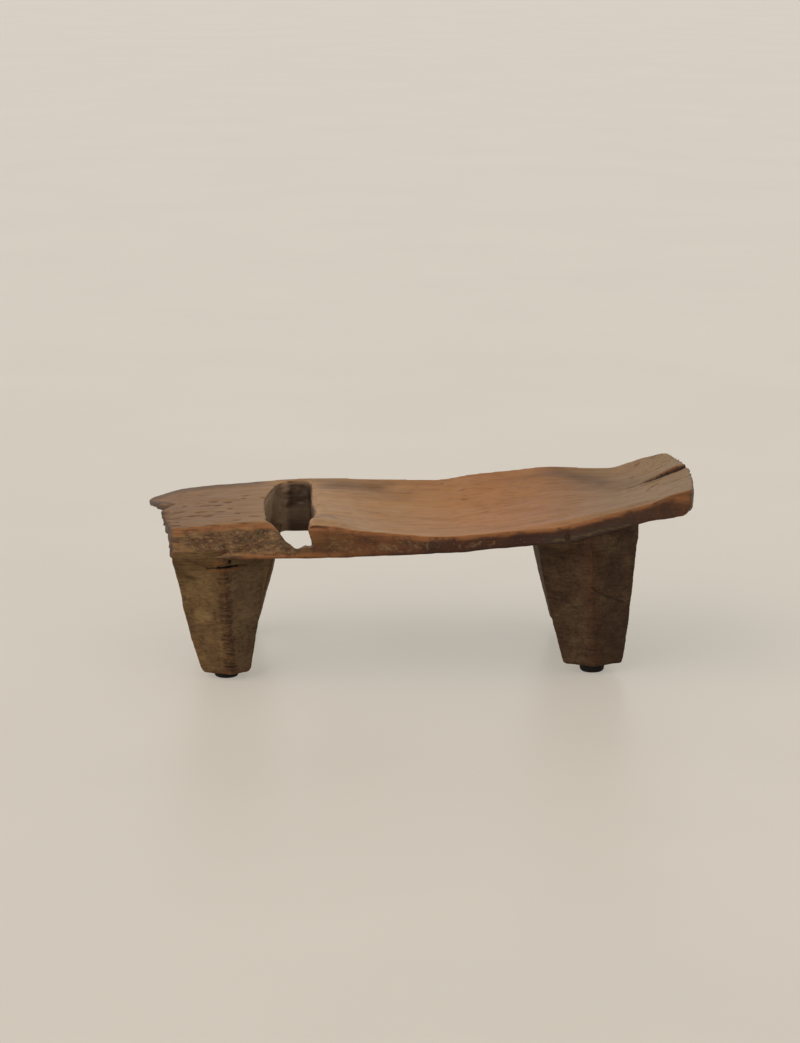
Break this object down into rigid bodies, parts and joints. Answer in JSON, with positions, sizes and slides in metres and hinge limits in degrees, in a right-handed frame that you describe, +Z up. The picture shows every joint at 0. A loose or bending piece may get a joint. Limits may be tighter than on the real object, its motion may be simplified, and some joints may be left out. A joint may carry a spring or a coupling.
{
  "type": "stool",
  "caption": "Low carved wooden stool with a dished seat that rises at one end, a hand slot near the other end, tapered legs and rubber feet.",
  "frame": {"origin": "on the floor, under the middle of the whole stool's box", "axes": "+X along the seat towards its raised end, +Y towards the rear edge, +Z up"},
  "size_m": [0.6239, 0.28, 0.2133],
  "materials": {
    "seat_wood": "worn, waxed by use",
    "leg_wood": "dark, rubbed by use",
    "pin_iron": "blackened",
    "foot_rubber": "matt",
    "washer_steel": "zinc plated",
    "screw_steel": "zinc plated"
  },
  "bodies": {
    "root": {"seat": "seat_wood", "leg_front_left": "leg_wood", "leg_front_right": "leg_wood", "leg_rear_left": "leg_wood", "leg_rear_right": "leg_wood", "leg_pin_front_left": "pin_iron", "leg_pin_front_right": "pin_iron", "leg_pin_rear_left": "pin_iron", "leg_pin_rear_right": "pin_iron", "rubber_foot_front_left": "foot_rubber", "rubber_foot_front_right": "foot_rubber", "rubber_foot_rear_left": "foot_rubber", "rubber_foot_rear_right": "foot_rubber", "foot_washer_front_left": "washer_steel", "foot_washer_front_right": "washer_steel", "foot_washer_rear_left": "washer_steel", "foot_washer_rear_right": "washer_steel", "foot_screw_front_left": "screw_steel", "foot_screw_front_right": "screw_steel", "foot_screw_rear_left": "screw_steel", "foot_screw_rear_right": "screw_steel"}
  },
  "joints": []
}
